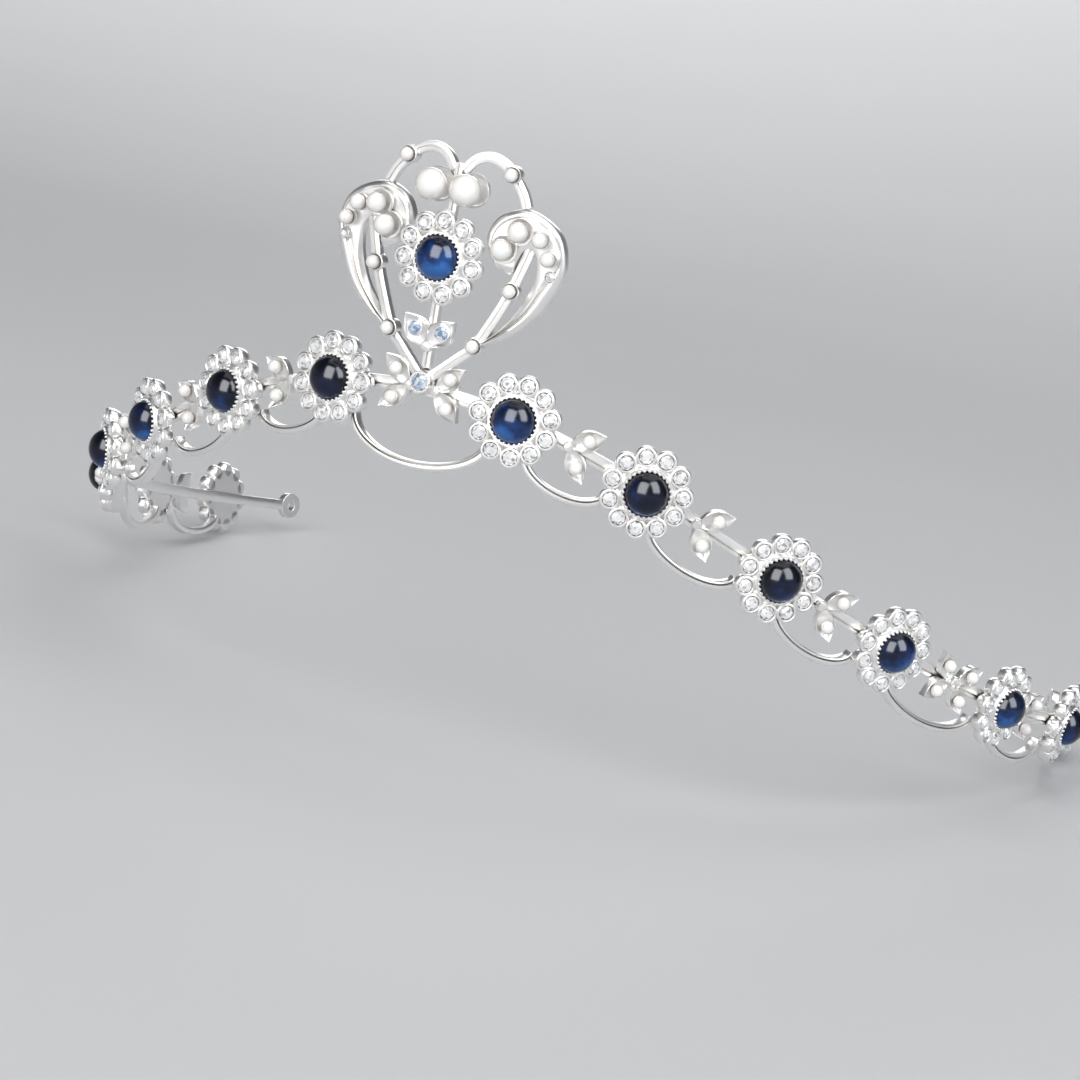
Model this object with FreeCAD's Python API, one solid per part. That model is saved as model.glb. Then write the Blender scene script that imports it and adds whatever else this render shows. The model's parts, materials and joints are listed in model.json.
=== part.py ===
"""Bridal tiara: a curved band of daisy clusters, leaf sprigs and festoons under a heart-shaped crest.

Millimetres. +X is the right-hand arm seen from the front, +Y runs back towards the open ends, +Z is up.
The pieces are laid out from the front centre of the band and exported from the bottom centre of the tiara.
"""
import FreeCAD, Part
import math
import os

os.makedirs("parts", exist_ok=True)

# Front centre of the band measured from the bottom centre of the whole tiara
FRONT_CENTRE_Y = -58.70
FRONT_CENTRE_Z = 52.13

# Band: an open ellipse in plan that falls away behind the crest
BAND_HALF_WIDTH = 80.0
BAND_HALF_DEPTH = 87.5
BAND_DROP = 60.0
BAND_DROP_REACH = 84.0
FRONT_TILT = 7.0
TILT_FALL = 16.0
TILT_REACH = 30.0
DAISY_ARCS = [13.3, 32.0, 52.2, 72.5, 99.5, 126.5, 149.0]
BAND_END_ARC = 166.0
PAIR_GAPS = [0, 1, 2, 4, 5]
FOUR_LEAF_GAP = 3

# Rail behind the daisies
RAIL_HEIGHT = 1.7
RAIL_DEPTH = 1.4
RAIL_START = 0.02
GROOVE_HALF = 0.36
GROOVE_DEPTH = 0.4
SOLDER_GAP = 0.05

# Eyelets on the ends of the rails
EYELET_RADIUS = 2.3
EYELET_BORE = 0.9

# Festoons
FESTOON_WIDTH = 1.24
FESTOON_DEPTH = 1.6
FESTOON_START_INSET = 2.8
FESTOON_END_INSET = 3.9
FESTOON_END_DROP = 3.4
FESTOON_SAG = 3.3
WIDE_GAP = 24.0
WIDE_SAG = 3.8
CENTRE_FESTOON_HALF = 10.9
CENTRE_FESTOON_DROP = 4.4
CENTRE_FESTOON_SAG = 5.9

# Daisy clusters
PETALS = 11
PETAL_RING = 4.95
CUP_RADIUS = 1.48
CUP_BORE = 1.0
CUP_HEIGHT = 1.95
CUP_FLOOR = 1.0
PLATE_RADIUS = 4.0
PLATE_TOP = 0.75
BEZEL_RADIUS = 3.5
BEZEL_BORE = 3.03
BEZEL_HEIGHT = 2.15
TEETH = 28
TOOTH_RADIUS = 0.22
TOOTH_ROOT = 1.95
TOOTH_TOP = 2.45
CABOCHON_RADIUS = 2.95
CABOCHON_SHOULDER = 1.95
CABOCHON_TOP = 4.6
CROWN_STEPS = 8
CRYSTAL_RADIUS = 0.96
CRYSTAL_HEIGHT = 0.95

# Leaves
LEAF_LENGTH = 5.3
LEAF_HALF_WIDTH = 1.5
CREST_LEAF_HALF_WIDTH = 1.75
LEAF_THICKNESS = 1.0
LEAF_TOP = SOLDER_GAP + LEAF_THICKNESS
LEAF_FOOT_RADIUS = 0.75
LEAF_DISH = 0.4
LEAF_SPREAD = 43.0
LEAF_RIM = 0.38
SPRIG_OFFSET = 7.6
SPRIG_PEARL_RADIUS = 0.95
SPRIG_PEARL_REACH = 2.9
FOUR_LEAF_OFFSET = 0.8
BOSS_RADIUS = 1.05
BOSS_TOP = LEAF_TOP + 0.7
BOSS_TEETH = 12
BOSS_TOOTH_RING = 0.8
BOSS_TOOTH_RADIUS = 0.16

# Hub where the crest meets the band
HUB_HEIGHT = 1.1
HUB_RADIUS = 1.85
HUB_PLATE_TOP = 1.1
HUB_CUP_RADIUS = 1.5
HUB_CUP_FLOOR = 1.3
HUB_CUP_TOP = 2.4
HUB_LIFT = 0.12
HUB_STONE_RADIUS = 1.15
HUB_STONE_HEIGHT = 1.4
HUB_LEAF_X = 1.9
HUB_LEAF_Z = 0.2

# Crest
WING_SWEEP = 5.5
CREST_BACK = 0.05
CREST_FRONT = 1.25
CREST_DAISY_Z = 18.0
STEM_WIDTH = 1.15
STEM_TOP = 28.6
BRANCH_WIDTH = 1.45
BRANCH_HUB_GAP = 0.1
ARCH_WIDTH = 1.35
COLLET_RADIUS = 1.22
COLLET_TOP = 1.75
COLLET_BORE = 0.95
COLLET_FLOOR = 1.3
CREST_LEAF_Z = 6.0
CREST_LEAF_STONE_RADIUS = 0.95
CREST_LEAF_STONE_HEIGHT = 0.75
CREST_LEAF_STONE_REACH = 2.85
VOLUTE_TOP = 1.85
VOLUTE_FLOOR = 1.5
VOLUTE_VALLEY = 0.85
PEARL_SEAT_FLOOR = 2.22
LARGE_SEAT_WALL = 0.16
LARGE_SEAT_SPARE = 0.3
LARGE_SEAT_TOP = 2.6
SMALL_SEAT_SPARE = 0.1
SMALL_SEAT_TOP = 2.6
CRYSTAL_SEAT_WALL = 0.14
CRYSTAL_SEAT_FLOOR = 1.42
VOLUTE_CRYSTAL_HEIGHT = 0.8
CRYSTAL_SEAT_TOP = 1.9
TOP_PEARL_X = 2.45
TOP_PEARL_Z = 27.4
TOP_PEARL_RADIUS = 2.15
TOP_PEARL_OUTWARD = 3.8
TOP_CUP_RADIUS = 2.3
TOP_CUP_WALL = 0.25
TOP_CUP_FLOOR = 0.65
TOP_CUP_TOP = 1.05
TOP_PEG_RADIUS = 0.5

FIT_GAP = 0.03

BRANCH_PATH = [(1.5, 2.6), (4.0, 5.0), (6.1, 7.2), (8.4, 11.9), (9.8, 15.4), (10.7, 18.4), (11.2, 20.2)]
JUNCTION_COLLET = (6.1, 7.2)
MID_COLLET = (9.8, 15.4)
ARCH_PATH = [(0.62, 29.7), (2.0, 31.4), (3.9, 32.1), (5.8, 31.6), (7.4, 30.4), (9.1, 28.3), (10.0, 26.55)]
ARCH_COLLET = (7.4, 30.4)
VOLUTE_OUTER = [(6.7, 7.3), (10.4, 9.2), (13.6, 12.2), (15.8, 16.2), (16.6, 20.2), (15.1, 24.1), (10.6, 26.3),
                (6.7, 24.9), (5.3, 21.8), (6.4, 18.9), (8.9, 17.6)]
VOLUTE_LIP = [(8.9, 17.6), (9.7, 17.7), (9.9, 18.6), (10.3, 20.2), (11.2, 21.1)]
VOLUTE_INNER = [(11.2, 21.1), (12.3, 20.6), (12.8, 18.7), (12.2, 15.6), (10.7, 12.6), (8.9, 10.1), (6.7, 7.3)]
DISH_OUTER = [(11.3, 10.9), (13.1, 12.8), (15.1, 16.4), (15.95, 20.1), (14.6, 23.6), (10.5, 25.6),
              (7.3, 24.3), (6.0, 21.7), (7.0, 19.4), (9.0, 18.3)]
DISH_INNER = [(9.0, 18.3), (9.4, 20.2), (10.8, 21.9), (12.5, 21.7), (13.7, 20.2), (14.2, 18.0), (13.7, 15.3),
              (12.7, 13.1), (11.3, 10.9)]
VALLEY_PATH = [(13.5, 18.6), (13.15, 15.4), (11.5, 12.2), (9.9, 10.2)]
VOLUTE_PEARLS = [(8.2, 20.75, 1.45), (10.0, 23.4, 1.37), (13.0, 22.9, 1.08), (14.45, 20.6, 1.0)]
VOLUTE_CRYSTAL = (14.9, 18.3, 0.7)


def vec(x, y, z=0.0):
    return FreeCAD.Vector(x, y, z)


def build_arc_table(steps=3000, span=2.4):
    """Plan arc length against the ellipse angle."""
    table = [(0.0, 0.0)]
    length = 0.0
    for i in range(steps):
        angle = span * (i + 0.5) / steps
        speed = math.hypot(BAND_HALF_WIDTH * math.cos(angle), BAND_HALF_DEPTH * math.sin(angle))
        length += speed * span / steps
        table.append((length, span * (i + 1) / steps))
    return table


ARC_TABLE = build_arc_table()


def band_angle(arc):
    distance = abs(arc)
    low, high = 0, len(ARC_TABLE) - 1
    while high - low > 1:
        middle = (low + high) // 2
        if ARC_TABLE[middle][0] > distance:
            high = middle
        else:
            low = middle
    share = (distance - ARC_TABLE[low][0]) / (ARC_TABLE[high][0] - ARC_TABLE[low][0])
    angle = ARC_TABLE[low][1] + share * (ARC_TABLE[high][1] - ARC_TABLE[low][1])
    return math.copysign(angle, arc)


def band_point(arc):
    """Front corner of the rail's mid line at an arc length from the front centre."""
    angle = band_angle(arc)
    drop = BAND_DROP * arc ** 2 / (arc ** 2 + BAND_DROP_REACH ** 2)
    return vec(BAND_HALF_WIDTH * math.sin(angle), BAND_HALF_DEPTH * (1 - math.cos(angle)), -drop)


def band_frame(arc):
    """Centre, along, up and outward directions of the band at an arc length from the front."""
    angle = band_angle(arc)
    along = (band_point(arc + 0.5) - band_point(arc - 0.5)).normalize()
    turn = math.atan2(math.sin(angle) / BAND_HALF_WIDTH, math.cos(angle) / BAND_HALF_DEPTH)
    tilt = math.radians(FRONT_TILT - TILT_FALL * arc ** 2 / (arc ** 2 + TILT_REACH ** 2))
    face = vec(math.sin(turn) * math.cos(tilt), -math.cos(turn) * math.cos(tilt), math.sin(tilt))
    outward = (face - along * face.dot(along)).normalize()
    return band_point(arc), along, outward.cross(along), outward


def crest_frame():
    """Upright plane through the front centre of the band, facing forward."""
    return vec(0, 0, 0), vec(1, 0, 0), vec(0, 0, 1), vec(0, -1, 0)


def wing_frame():
    """Right half of the crest, swept back slightly to follow the band."""
    sweep = math.radians(WING_SWEEP)
    along = vec(math.cos(sweep), math.sin(sweep), 0.0)
    return vec(0, 0, 0), along, vec(0, 0, 1), vec(math.sin(sweep), -math.cos(sweep), 0.0)


def seat(shape, frame):
    """Place a shape modelled with X along, Y up and Z outward onto a frame."""
    centre, along, up, outward = frame
    matrix = FreeCAD.Matrix(along.x, up.x, outward.x, centre.x,
                            along.y, up.y, outward.y, centre.y,
                            along.z, up.z, outward.z, centre.z,
                            0, 0, 0, 1)
    placed = shape.copy()
    placed.Placement = FreeCAD.Placement(matrix).multiply(placed.Placement)
    return placed


def mirrored(shape):
    return shape.mirror(vec(0, 0, 0), vec(1, 0, 0))


def save(name, solids):
    shape = solids[0] if len(solids) == 1 else Part.makeCompound(solids)
    shape = shape.translated(vec(0, FRONT_CENTRE_Y, FRONT_CENTRE_Z))
    shape.exportStep("parts/" + name + ".step")


def save_pair(name, solids):
    """Export a right-hand piece and its mirror image."""
    save(name + "_right", solids)
    save(name + "_left", [mirrored(solid) for solid in solids])


def cylinder(radius, bottom, top, x=0.0, y=0.0):
    return Part.makeCylinder(radius, top - bottom, vec(x, y, bottom))


def ball(radius, x, y, z):
    return Part.makeSphere(radius, vec(x, y, z))


def curve_through(points):
    curve = Part.BSplineCurve()
    curve.interpolate([vec(x, y) for x, y in points])
    return curve


def sampled(points, count):
    """Points and sideways directions along a smooth path."""
    curve = curve_through(points)
    stations = []
    for i in range(count):
        value = curve.FirstParameter + (curve.LastParameter - curve.FirstParameter) * i / (count - 1)
        spot = curve.value(value)
        heading = curve.tangent(value)[0]
        stations.append((spot.x, spot.y, -heading.y, heading.x))
    return stations


def bar_section(place, spot, half_width, back, front, grooved):
    """Closed section of a bar; place maps sideways and outward distances to space."""
    outline = [(-half_width, back), (half_width, back), (half_width, front)]
    if grooved:
        outline += [(GROOVE_HALF, front), (0.0, front - GROOVE_DEPTH), (-GROOVE_HALF, front)]
    outline.append((-half_width, front))
    return Part.makePolygon([place(spot, *corner) for corner in outline + outline[:1]])


def flat_bar(points, width, back, front, grooved=True, count=25):
    """Bar lying in a plane, X and Y in the plane and Z outward."""
    def place(spot, side, out):
        x, y, nx, ny = spot
        return vec(x + nx * side, y + ny * side, out)
    wires = [bar_section(place, spot, width / 2, back, front, grooved) for spot in sampled(points, count)]
    return Part.makeLoft(wires, True, False)


def band_bar(points, width, back, front, count):
    """Bar lying in the curved face of the band; points are arc length and height."""
    def place(spot, side, out):
        arc, height, na, nh = spot
        centre, along, up, outward = band_frame(arc)
        return centre + up * (height + nh * side) + along * (na * side) + outward * out
    wires = [bar_section(place, spot, width / 2, back, front, True) for spot in sampled(points, count)]
    return Part.makeLoft(wires, True, False)


def extruded(curves, bottom, top):
    wire = Part.Wire([curve.toShape() for curve in curves])
    return Part.Face(wire).extrude(vec(0, 0, top - bottom)).translated(vec(0, 0, bottom))


def turned(profile):
    """Solid of revolution about Z from radius and height corners."""
    wire = Part.makePolygon([vec(r, 0, z) for r, z in profile + profile[:1]])
    return Part.Face(wire).revolve(vec(0, 0, 0), vec(0, 0, 1), 360)


def collet(x, y):
    cup = cylinder(COLLET_RADIUS, CREST_BACK, COLLET_TOP, x, y)
    return cup, cylinder(COLLET_BORE, COLLET_FLOOR, COLLET_TOP + 1, x, y)


# Daisy cluster
def daisy_setting():
    body = cylinder(PLATE_RADIUS, SOLDER_GAP, PLATE_TOP)
    body = body.fuse(cylinder(BEZEL_RADIUS, SOLDER_GAP, BEZEL_HEIGHT))
    cups = []
    bores = [cylinder(BEZEL_BORE, PLATE_TOP, TOOTH_TOP)]
    for i in range(PETALS):
        angle = math.pi / 2 + 2 * math.pi * i / PETALS
        x, y = PETAL_RING * math.cos(angle), PETAL_RING * math.sin(angle)
        cups.append(cylinder(CUP_RADIUS, SOLDER_GAP, CUP_HEIGHT, x, y))
        bores.append(cylinder(CUP_BORE, CUP_FLOOR, CUP_HEIGHT + 1, x, y))
    tooth_ring = (BEZEL_RADIUS + BEZEL_BORE) / 2
    for i in range(TEETH):
        angle = 2 * math.pi * i / TEETH
        x, y = tooth_ring * math.cos(angle), tooth_ring * math.sin(angle)
        cups.append(cylinder(TOOTH_RADIUS, TOOTH_ROOT, TOOTH_TOP, x, y))
    return body.multiFuse(cups).cut(Part.makeCompound(bores)).Solids[0]


def cabochon():
    """Domed stone with an elliptical crown."""
    base = PLATE_TOP + FIT_GAP
    rise = CABOCHON_TOP - CABOCHON_SHOULDER
    rim = []
    for i in range(CROWN_STEPS + 1):
        swing = math.pi / 2 * i / CROWN_STEPS
        rim.append(vec(CABOCHON_RADIUS * math.cos(swing), 0, CABOCHON_SHOULDER + rise * math.sin(swing)))
    crown = Part.BSplineCurve()
    crown.interpolate(rim)
    corners = [vec(0, 0, CABOCHON_TOP), vec(0, 0, base), vec(CABOCHON_RADIUS, 0, base)]
    corners.append(vec(CABOCHON_RADIUS, 0, CABOCHON_SHOULDER))
    edges = Part.makePolygon(corners).Edges + [crown.toShape()]
    return Part.Face(Part.Wire(edges)).revolve(vec(0, 0, 0), vec(0, 0, 1), 360)


def brilliant(radius, bottom, height):
    """Round cut stone: flat foot, girdle and table."""
    girdle = bottom + 0.5 * height
    top = bottom + height
    return turned([(0, bottom), (0.4 * radius, bottom), (radius, girdle), (radius, girdle + 0.1 * height),
                   (0.6 * radius, top), (0, top)])


def crystal_ring():
    stone = brilliant(CRYSTAL_RADIUS, CUP_FLOOR + FIT_GAP, CRYSTAL_HEIGHT)
    ring = []
    for i in range(PETALS):
        angle = math.pi / 2 + 2 * math.pi * i / PETALS
        ring.append(stone.translated(vec(PETAL_RING * math.cos(angle), PETAL_RING * math.sin(angle), 0)))
    return ring


# Leaves
def lens(length, half_width, start, bottom, top):
    """Plate between two arcs that meet in a point at both ends."""
    middle = start + 0.45 * length
    upper = Part.Arc(vec(start, 0), vec(middle, half_width), vec(start + length, 0))
    lower = Part.Arc(vec(start + length, 0), vec(middle, -half_width), vec(start, 0))
    return extruded([upper, lower], bottom, top)


def leaf(half_width):
    """Pointed leaf from the origin along +X, dished inside a rim that is wider at its points."""
    blade = lens(LEAF_LENGTH, half_width, 0.0, SOLDER_GAP, LEAF_TOP)
    dish_length = LEAF_LENGTH - 4 * LEAF_RIM
    dish = lens(dish_length, half_width - LEAF_RIM, 2.2 * LEAF_RIM, LEAF_TOP - LEAF_DISH, LEAF_TOP + 1)
    return blade.cut(dish)


def turned_about(shape, degrees):
    turned_shape = shape.copy()
    turned_shape.rotate(vec(0, 0, 0), vec(0, 0, 1), degrees)
    return turned_shape


def leaf_pair(half_width=LEAF_HALF_WIDTH):
    """Two leaves opening towards +X from a small foot at the origin."""
    foot = cylinder(LEAF_FOOT_RADIUS, SOLDER_GAP, LEAF_TOP)
    blade = leaf(half_width)
    return foot.multiFuse([turned_about(blade, LEAF_SPREAD), turned_about(blade, -LEAF_SPREAD)]).Solids[0]


def pair_pearls():
    """One pearl resting in the dish of each leaf of a pair."""
    reach_x = SPRIG_PEARL_REACH * math.cos(math.radians(LEAF_SPREAD))
    reach_y = SPRIG_PEARL_REACH * math.sin(math.radians(LEAF_SPREAD))
    height = LEAF_TOP - LEAF_DISH + SPRIG_PEARL_RADIUS + FIT_GAP / 3
    return [ball(SPRIG_PEARL_RADIUS, reach_x, side * reach_y, height) for side in (1, -1)]


def four_leaf_sprig():
    """Two leaf pairs back to back under a toothed boss."""
    right_pair = leaf_pair().translated(vec(FOUR_LEAF_OFFSET, 0, 0))
    boss = cylinder(BOSS_RADIUS, SOLDER_GAP, BOSS_TOP)
    teeth = []
    for i in range(BOSS_TEETH):
        angle = 2 * math.pi * i / BOSS_TEETH
        x, y = BOSS_TOOTH_RING * math.cos(angle), BOSS_TOOTH_RING * math.sin(angle)
        teeth.append(cylinder(BOSS_TOOTH_RADIUS, BOSS_TOP - 0.2, BOSS_TOP + 0.25, x, y))
    return boss.multiFuse([right_pair, mirrored(right_pair)] + teeth).Solids[0]


# Band pieces
rail_length = BAND_END_ARC - EYELET_RADIUS - RAIL_START
rail_stops = [(RAIL_START + rail_length * i / 12, 0.0) for i in range(13)]
save_pair("rail", [band_bar(rail_stops, RAIL_HEIGHT, -RAIL_DEPTH, 0.0, 45)])

eyelet = cylinder(EYELET_RADIUS, -RAIL_DEPTH, 0.0).cut(cylinder(EYELET_BORE, -RAIL_DEPTH - 1, 1))
save_pair("end_eyelet", [seat(eyelet, band_frame(BAND_END_ARC + SOLDER_GAP))])


def festoon(start, finish, end_drop, sag):
    """Hanging loop between two arc lengths: half an ellipse below its ends."""
    middle = (start + finish) / 2
    half = (finish - start) / 2
    path = []
    for i in range(13):
        swing = math.pi * i / 12
        path.append((middle - half * math.cos(swing), -end_drop - sag * math.sin(swing)))
    return band_bar(path, FESTOON_WIDTH, -FESTOON_DEPTH, -SOLDER_GAP, 29)


centre_loop = festoon(-CENTRE_FESTOON_HALF, CENTRE_FESTOON_HALF, CENTRE_FESTOON_DROP, CENTRE_FESTOON_SAG)
save("festoon_centre", [centre_loop])
for gap in range(len(DAISY_ARCS) - 1):
    first, second = DAISY_ARCS[gap], DAISY_ARCS[gap + 1]
    depth = WIDE_SAG if second - first > WIDE_GAP else FESTOON_SAG
    loop = festoon(first + FESTOON_START_INSET, second - FESTOON_END_INSET, FESTOON_END_DROP, depth)
    save_pair("festoon_%d" % (gap + 1), [loop])

setting = daisy_setting()
stone = cabochon()
crystals = crystal_ring()
daisy_frames = [band_frame(arc) for arc in DAISY_ARCS]
save_pair("daisy_settings", [seat(setting, frame) for frame in daisy_frames])
save_pair("cabochons", [seat(stone, frame) for frame in daisy_frames])
save_pair("daisy_crystals", [seat(crystal, frame) for frame in daisy_frames for crystal in crystals])

pair = leaf_pair()
pearls = pair_pearls()
pair_frames = [band_frame(DAISY_ARCS[gap] + SPRIG_OFFSET) for gap in PAIR_GAPS]
save_pair("leaf_sprigs", [seat(pair, frame) for frame in pair_frames])
save_pair("sprig_pearls", [seat(pearl, frame) for frame in pair_frames for pearl in pearls])

four_frame = band_frame((DAISY_ARCS[FOUR_LEAF_GAP] + DAISY_ARCS[FOUR_LEAF_GAP + 1]) / 2)
four_pearls = [pearl.translated(vec(FOUR_LEAF_OFFSET, 0, 0)) for pearl in pearls]
four_pearls += [mirrored(pearl) for pearl in four_pearls]
save_pair("four_leaf_sprig", [seat(four_leaf_sprig(), four_frame)])
save_pair("four_leaf_pearls", [seat(pearl, four_frame) for pearl in four_pearls])

# Hub
hub_clearance = cylinder(HUB_RADIUS + FIT_GAP, -5, 5, 0.0, HUB_HEIGHT)
hub = cylinder(HUB_RADIUS, CREST_BACK + HUB_LIFT, HUB_PLATE_TOP, 0.0, HUB_HEIGHT)
hub = hub.fuse(cylinder(HUB_CUP_RADIUS, HUB_PLATE_TOP - 0.1, HUB_CUP_TOP, 0.0, HUB_HEIGHT))
hub = hub.cut(cylinder(HUB_STONE_RADIUS + FIT_GAP, HUB_CUP_FLOOR, HUB_CUP_TOP + 1, 0.0, HUB_HEIGHT))
save("hub_collet", [seat(hub, crest_frame())])
hub_stone = brilliant(HUB_STONE_RADIUS, HUB_CUP_FLOOR + FIT_GAP, HUB_STONE_HEIGHT)
hub_stone = hub_stone.translated(vec(0, HUB_HEIGHT, 0))
save("hub_stone", [seat(hub_stone, crest_frame())])
branch_clearance = flat_bar(BRANCH_PATH, BRANCH_WIDTH + 2 * FIT_GAP, -1, 4, False)
hub_pair = seat(pair.translated(vec(HUB_LEAF_X, HUB_LEAF_Z, HUB_LIFT)).cut(hub_clearance), crest_frame())
hub_pair = hub_pair.cut(seat(branch_clearance, wing_frame()))
save_pair("hub_leaves", [max(hub_pair.Solids, key=lambda solid: solid.Volume)])
hub_pearls = [pearl.translated(vec(HUB_LEAF_X, HUB_LEAF_Z, HUB_LIFT)) for pearl in pearls]
save_pair("hub_pearls", [seat(pearl, crest_frame()) for pearl in hub_pearls])

# Crest: stem, leaves and daisy on the centre line
stem_path = [(0.0, HUB_HEIGHT + HUB_RADIUS + FIT_GAP + 0.02), (0.0, 16.0), (0.0, STEM_TOP)]
stem = flat_bar(stem_path, STEM_WIDTH, CREST_BACK, CREST_FRONT, True, 5)
save("crest_stem", [seat(stem, crest_frame())])

stone_floor = LEAF_TOP - LEAF_DISH
crest_pair = turned_about(leaf_pair(CREST_LEAF_HALF_WIDTH), 90)
leaf_place = vec(0, CREST_LEAF_Z, CREST_FRONT)
save("crest_leaves", [seat(crest_pair.translated(leaf_place), crest_frame())])
leaf_stones = []
for side in (1, -1):
    angle = math.radians(90 + side * LEAF_SPREAD)
    gem = brilliant(CREST_LEAF_STONE_RADIUS, stone_floor + FIT_GAP, CREST_LEAF_STONE_HEIGHT)
    spot = leaf_place + vec(math.cos(angle), math.sin(angle), 0) * CREST_LEAF_STONE_REACH
    leaf_stones.append(seat(gem.translated(spot), crest_frame()))
save("crest_leaf_stones", leaf_stones)

crest_daisy_place = vec(0, CREST_DAISY_Z, CREST_FRONT)
save("daisy_setting_crest", [seat(setting.translated(crest_daisy_place), crest_frame())])
save("cabochon_crest", [seat(stone.translated(crest_daisy_place), crest_frame())])
crest_crystals = [seat(crystal.translated(crest_daisy_place), crest_frame()) for crystal in crystals]
save("daisy_crystals_crest", crest_crystals)

# Crest wings: branch with two pearl collets, volute, arch
branch = flat_bar(BRANCH_PATH, BRANCH_WIDTH, CREST_BACK, CREST_FRONT)
collet_clearances = []
for x, y in (JUNCTION_COLLET, MID_COLLET):
    cup, bore = collet(x, y)
    branch = branch.fuse(cup).cut(bore)
    collet_clearances.append(cylinder(COLLET_RADIUS + FIT_GAP, -1, 4, x, y))
branch = branch.cut(cylinder(HUB_RADIUS + BRANCH_HUB_GAP, -5, 5, 0.0, HUB_HEIGHT))
save_pair("crest_branch", [seat(branch.Solids[0], wing_frame())])

volute = extruded([curve_through(VOLUTE_OUTER), curve_through(VOLUTE_LIP), curve_through(VOLUTE_INNER)],
                  CREST_BACK, VOLUTE_TOP)
dish = extruded([curve_through(DISH_OUTER), curve_through(DISH_INNER)], VOLUTE_FLOOR, VOLUTE_TOP + 1)
valley = flat_bar(VALLEY_PATH, 0.35, VOLUTE_VALLEY, VOLUTE_TOP + 1, False)
volute = volute.cut(dish).cut(valley)
seats = []
seat_bores = []
for x, y, r in VOLUTE_PEARLS[:2]:
    bore = r + LARGE_SEAT_SPARE
    seats.append(cylinder(bore + LARGE_SEAT_WALL, VOLUTE_VALLEY, LARGE_SEAT_TOP, x, y))
    seat_bores.append(cylinder(bore, PEARL_SEAT_FLOOR, LARGE_SEAT_TOP + 1, x, y))
for x, y, r in VOLUTE_PEARLS[2:]:
    seats.append(cylinder(r + SMALL_SEAT_SPARE, VOLUTE_VALLEY, SMALL_SEAT_TOP, x, y))
    seat_bores.append(cylinder(r - SMALL_SEAT_SPARE, PEARL_SEAT_FLOOR, SMALL_SEAT_TOP + 1, x, y))
x, y, r = VOLUTE_CRYSTAL
seats.append(cylinder(r + CRYSTAL_SEAT_WALL, VOLUTE_VALLEY, CRYSTAL_SEAT_TOP, x, y))
seat_bores.append(cylinder(r + FIT_GAP, CRYSTAL_SEAT_FLOOR, CRYSTAL_SEAT_TOP + 1, x, y))
volute = volute.multiFuse(seats).cut(Part.makeCompound(seat_bores))
volute = volute.cut(branch_clearance).cut(Part.makeCompound(collet_clearances))
volute = volute.cut(cylinder(PETAL_RING + CUP_RADIUS + SOLDER_GAP, -1, 4, 0.0, CREST_DAISY_Z))
volute_body = max(volute.Solids, key=lambda solid: solid.Volume)
save_pair("volute", [seat(volute_body, wing_frame())])

volute_pearls = [ball(r, x, y, PEARL_SEAT_FLOOR + r + FIT_GAP) for x, y, r in VOLUTE_PEARLS]
save_pair("volute_pearls", [seat(pearl, wing_frame()) for pearl in volute_pearls])
x, y, r = VOLUTE_CRYSTAL
tail_crystal = brilliant(r, CRYSTAL_SEAT_FLOOR + FIT_GAP, VOLUTE_CRYSTAL_HEIGHT).translated(vec(x, y, 0))
save_pair("volute_crystal", [seat(tail_crystal, wing_frame())])

arch = flat_bar(ARCH_PATH, ARCH_WIDTH, CREST_BACK, CREST_FRONT)
cup, bore = collet(*ARCH_COLLET)
arch = arch.fuse(cup).cut(bore).cut(volute_body)
half_space = Part.makeBox(20, 60, 20, vec(FIT_GAP, 0, -10))
arch = arch.common(half_space)
save_pair("arch", [seat(arch.Solids[0], wing_frame())])

small_pearls = []
for x, y in (JUNCTION_COLLET, MID_COLLET, ARCH_COLLET):
    small_pearls.append(seat(ball(COLLET_BORE - FIT_GAP, x, y, COLLET_FLOOR + COLLET_BORE), wing_frame()))
save_pair("collet_pearls", small_pearls)

# Pair of large pearls under the meeting of the arches
top_cup = cylinder(TOP_CUP_RADIUS, CREST_BACK, TOP_CUP_TOP, TOP_PEARL_X, TOP_PEARL_Z)
hollow = cylinder(TOP_CUP_RADIUS - TOP_CUP_WALL, TOP_CUP_FLOOR, TOP_CUP_TOP + 1, TOP_PEARL_X, TOP_PEARL_Z)
peg_top = TOP_PEARL_OUTWARD - TOP_PEARL_RADIUS - FIT_GAP
peg = cylinder(TOP_PEG_RADIUS, CREST_BACK, peg_top, TOP_PEARL_X, TOP_PEARL_Z)
stem_side = Part.makeBox(20, 60, 20, vec(STEM_WIDTH / 2 + FIT_GAP, 0, -10))
top_cup = top_cup.cut(hollow).fuse(peg).common(stem_side)
top_pearl = ball(TOP_PEARL_RADIUS, TOP_PEARL_X, TOP_PEARL_Z, TOP_PEARL_OUTWARD)
save_pair("top_pearl_cup", [seat(top_cup, crest_frame())])
save_pair("top_pearl", [seat(top_pearl, crest_frame())])
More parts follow.
